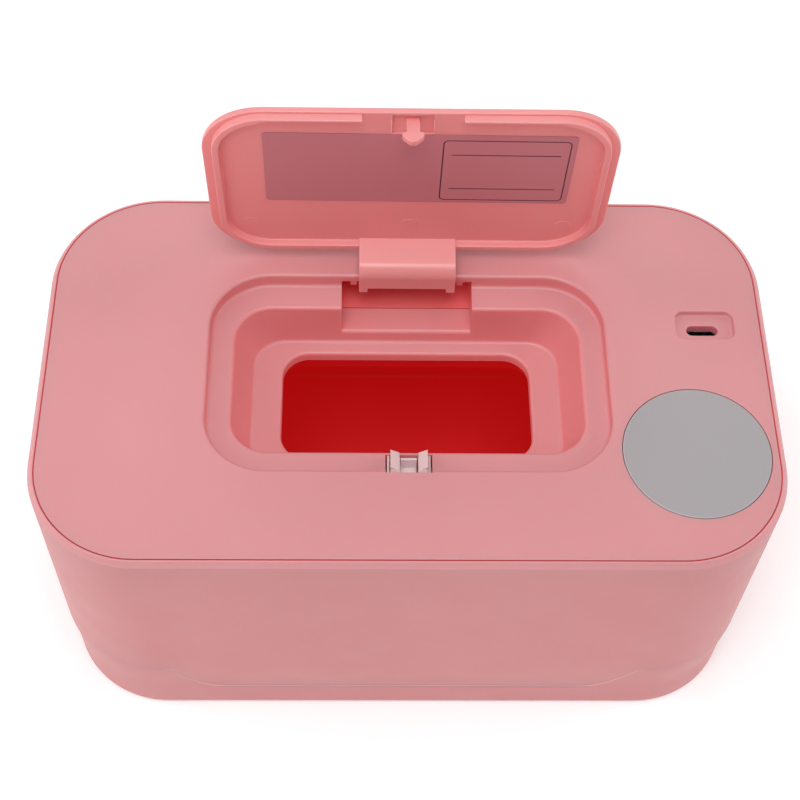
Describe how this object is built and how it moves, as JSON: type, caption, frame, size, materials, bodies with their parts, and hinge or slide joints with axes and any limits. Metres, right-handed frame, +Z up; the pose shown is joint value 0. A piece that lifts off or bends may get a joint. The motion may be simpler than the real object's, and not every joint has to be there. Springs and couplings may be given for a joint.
{
  "type": "baby wipe warmer",
  "caption": "Tabletop wipe warmer: rounded box with a lift-off top, a latching flip lid over a dispensing well, a round display lens and a charging socket.",
  "frame": {"origin": "centre of the footprint on the table, under the feet, closed outline of the body", "axes": "+Z up, +X along the long side towards the display lens, -Y the front with the latch, +Y the hinge side"},
  "size_m": [0.205, 0.122, 0.1622],
  "materials": {
    "body_pink": "fine matt",
    "panel_pink": "fine matt",
    "tub_pink": "satin",
    "foot_rubber": "matt",
    "seal_rubber": "silicone, matt",
    "screw_steel": "zinc plated",
    "pin_steel": "ground",
    "spring_steel": "wire",
    "lens_grey": "matt",
    "module_black": "matt",
    "board_green": "solder mask",
    "port_steel": "plated",
    "port_black": "moulded",
    "pad_felt": "needled felt",
    "film_amber": "film",
    "plate_aluminium": "brushed",
    "bead_black": "epoxy",
    "fuse_ceramic": "ceramic",
    "wire_red": "silicone sleeve",
    "lid_pink": "fine matt",
    "label_film": "smoky film",
    "latch_white": "moulded"
  },
  "bodies": {
    "body": {"body_shell": "body_pink", "base_pan": "body_pink", "rubber_feet": "foot_rubber", "base_screws": "screw_steel", "inner_tub": "tub_pink", "tub_seal": "seal_rubber"},
    "cover": {"top_panel": "panel_pink", "display_lens": "lens_grey", "display_module": "module_black", "control_board": "board_green", "board_screws": "screw_steel", "usb_shell": "port_steel", "usb_tongue": "port_black", "inner_cover": "tub_pink", "cover_screws": "screw_steel", "heat_pad": "pad_felt", "heating_film": "film_amber", "heater_plate": "plate_aluminium", "plate_rivets": "screw_steel", "thermistor": "bead_black", "thermal_fuse": "fuse_ceramic", "heater_wires": "wire_red", "hinge_bracket": "tub_pink", "bracket_screws": "screw_steel", "hinge_pin": "pin_steel", "hinge_spring": "spring_steel", "latch_housing": "latch_white", "latch_screws": "screw_steel", "latch_spring": "spring_steel"},
    "lid": {"flip_lid": "lid_pink", "lid_label": "label_film"},
    "latch": {"latch_slider": "latch_white", "latch_pins": "pin_steel"},
    "jaw_left": {"latch_jaw_left": "latch_white"},
    "jaw_right": {"latch_jaw_right": "latch_white"}
  },
  "joints": [
    {"name": "cover_lift", "type": "slide", "parent": "body", "child": "cover", "axis": [0, 0, 1], "range_m": [0, 0.06]},
    {"name": "lid_hinge", "type": "hinge", "parent": "cover", "child": "lid", "pos_m": [0, 0.0387, 0.0916], "axis": [1, 0, 0], "range_deg": [0, 85], "stiffness_Nm_per_rad": 0.005, "springref_deg": -34.38},
    {"name": "latch_push", "type": "slide", "parent": "cover", "child": "latch", "axis": [0, 0, -1], "range_m": [0, 0.0016], "stiffness_N_per_m": 400, "springref_m": -0.002, "deforming": ["latch_spring"]},
    {"name": "jaw_left_turn", "type": "hinge", "parent": "latch", "child": "jaw_left", "pos_m": [-0.0041, -0.0284, 0.083], "axis": [0, 1, 0], "range_deg": [0, 2.7]},
    {"name": "jaw_right_turn", "type": "hinge", "parent": "latch", "child": "jaw_right", "pos_m": [0.0041, -0.0284, 0.083], "axis": [0, 1, 0], "range_deg": [-2.7, 0]}
  ],
  "couplings": [
    {"joint": "jaw_left_turn", "follows": "latch_push", "rad_per_m": 28.7},
    {"joint": "jaw_right_turn", "follows": "latch_push", "rad_per_m": -28.7}
  ]
}
